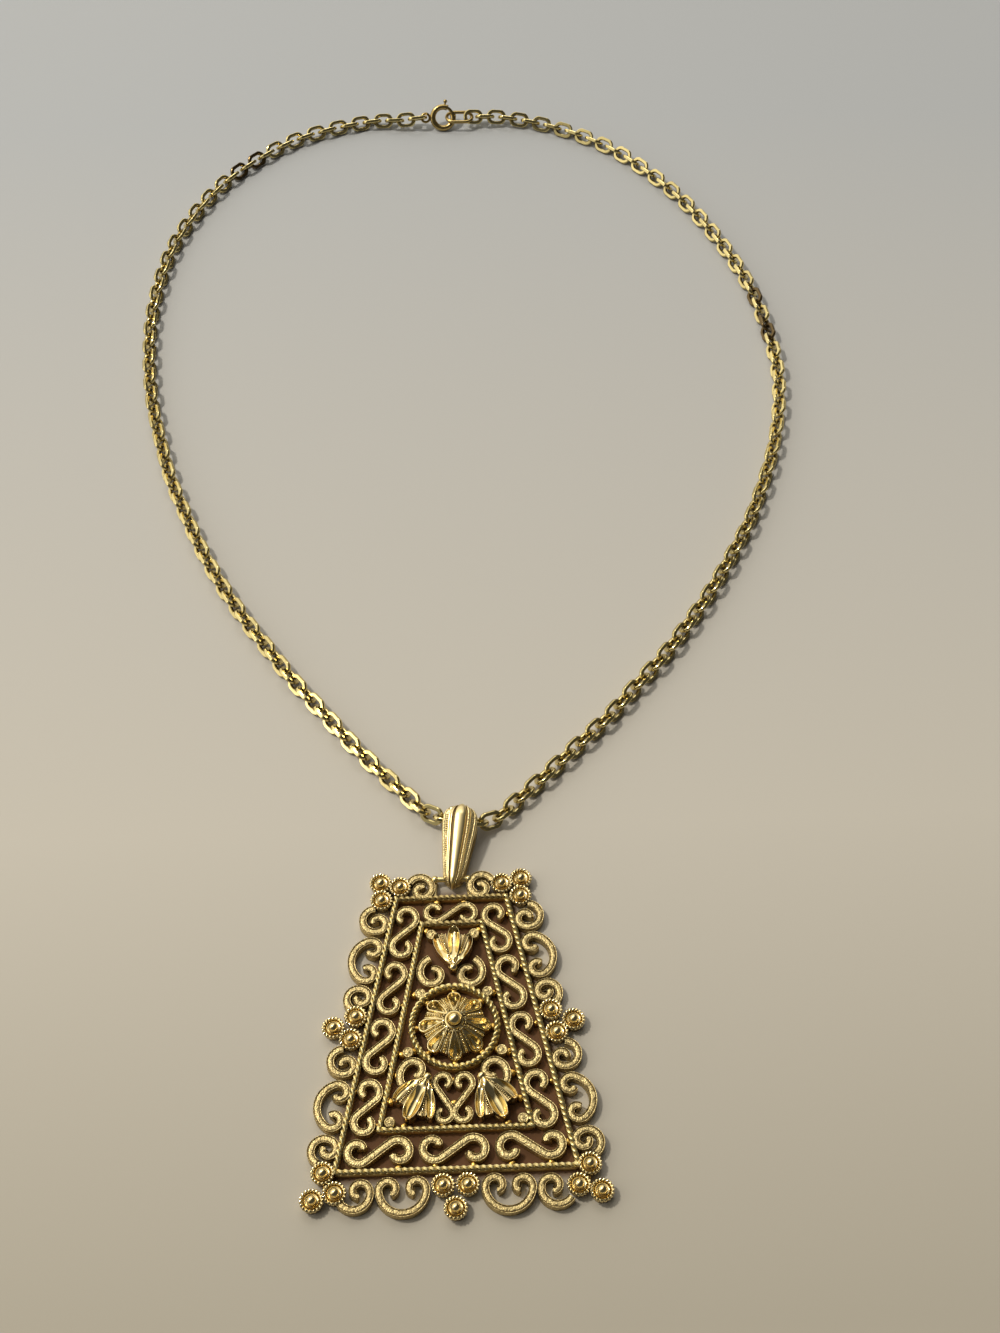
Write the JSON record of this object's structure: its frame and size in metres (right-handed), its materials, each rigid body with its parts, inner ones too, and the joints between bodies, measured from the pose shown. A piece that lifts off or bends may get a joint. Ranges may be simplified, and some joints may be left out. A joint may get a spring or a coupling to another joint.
{
  "type": "drop necklace",
  "caption": "Pierced trapezoid pendant with scrolls, rosettes and a ribbed dome, on a fold-over bail and a closed cable chain with a bolt-ring clasp, lying flat.",
  "frame": {"origin": "on the pendant's flat back, under the middle of its round medallion", "axes": "+X across the pendant to the right, +Y from its lower edge up towards the clasp, +Z out of its front, up from the surface that it lies on"},
  "size_m": [0.1419, 0.2741, 0.006],
  "materials": {
    "gold_tone_metal": "satin"
  },
  "bodies": {
    "necklace": {"pendant": "gold_tone_metal", "bail": "gold_tone_metal", "chain_left": "gold_tone_metal", "chain_right": "gold_tone_metal", "clasp_ring": "gold_tone_metal", "jump_ring": "gold_tone_metal"},
    "bolt": {"clasp_bolt": "gold_tone_metal"}
  },
  "joints": [
    {"name": "clasp_bolt_turn", "type": "hinge", "parent": "necklace", "child": "bolt", "pos_m": [0.0017, 0.2377, 0.0026], "axis": [0, -0.7431, 0.6691], "range_deg": [0, 42], "stiffness_Nm_per_rad": 0.003, "springref_deg": -17.19}
  ]
}
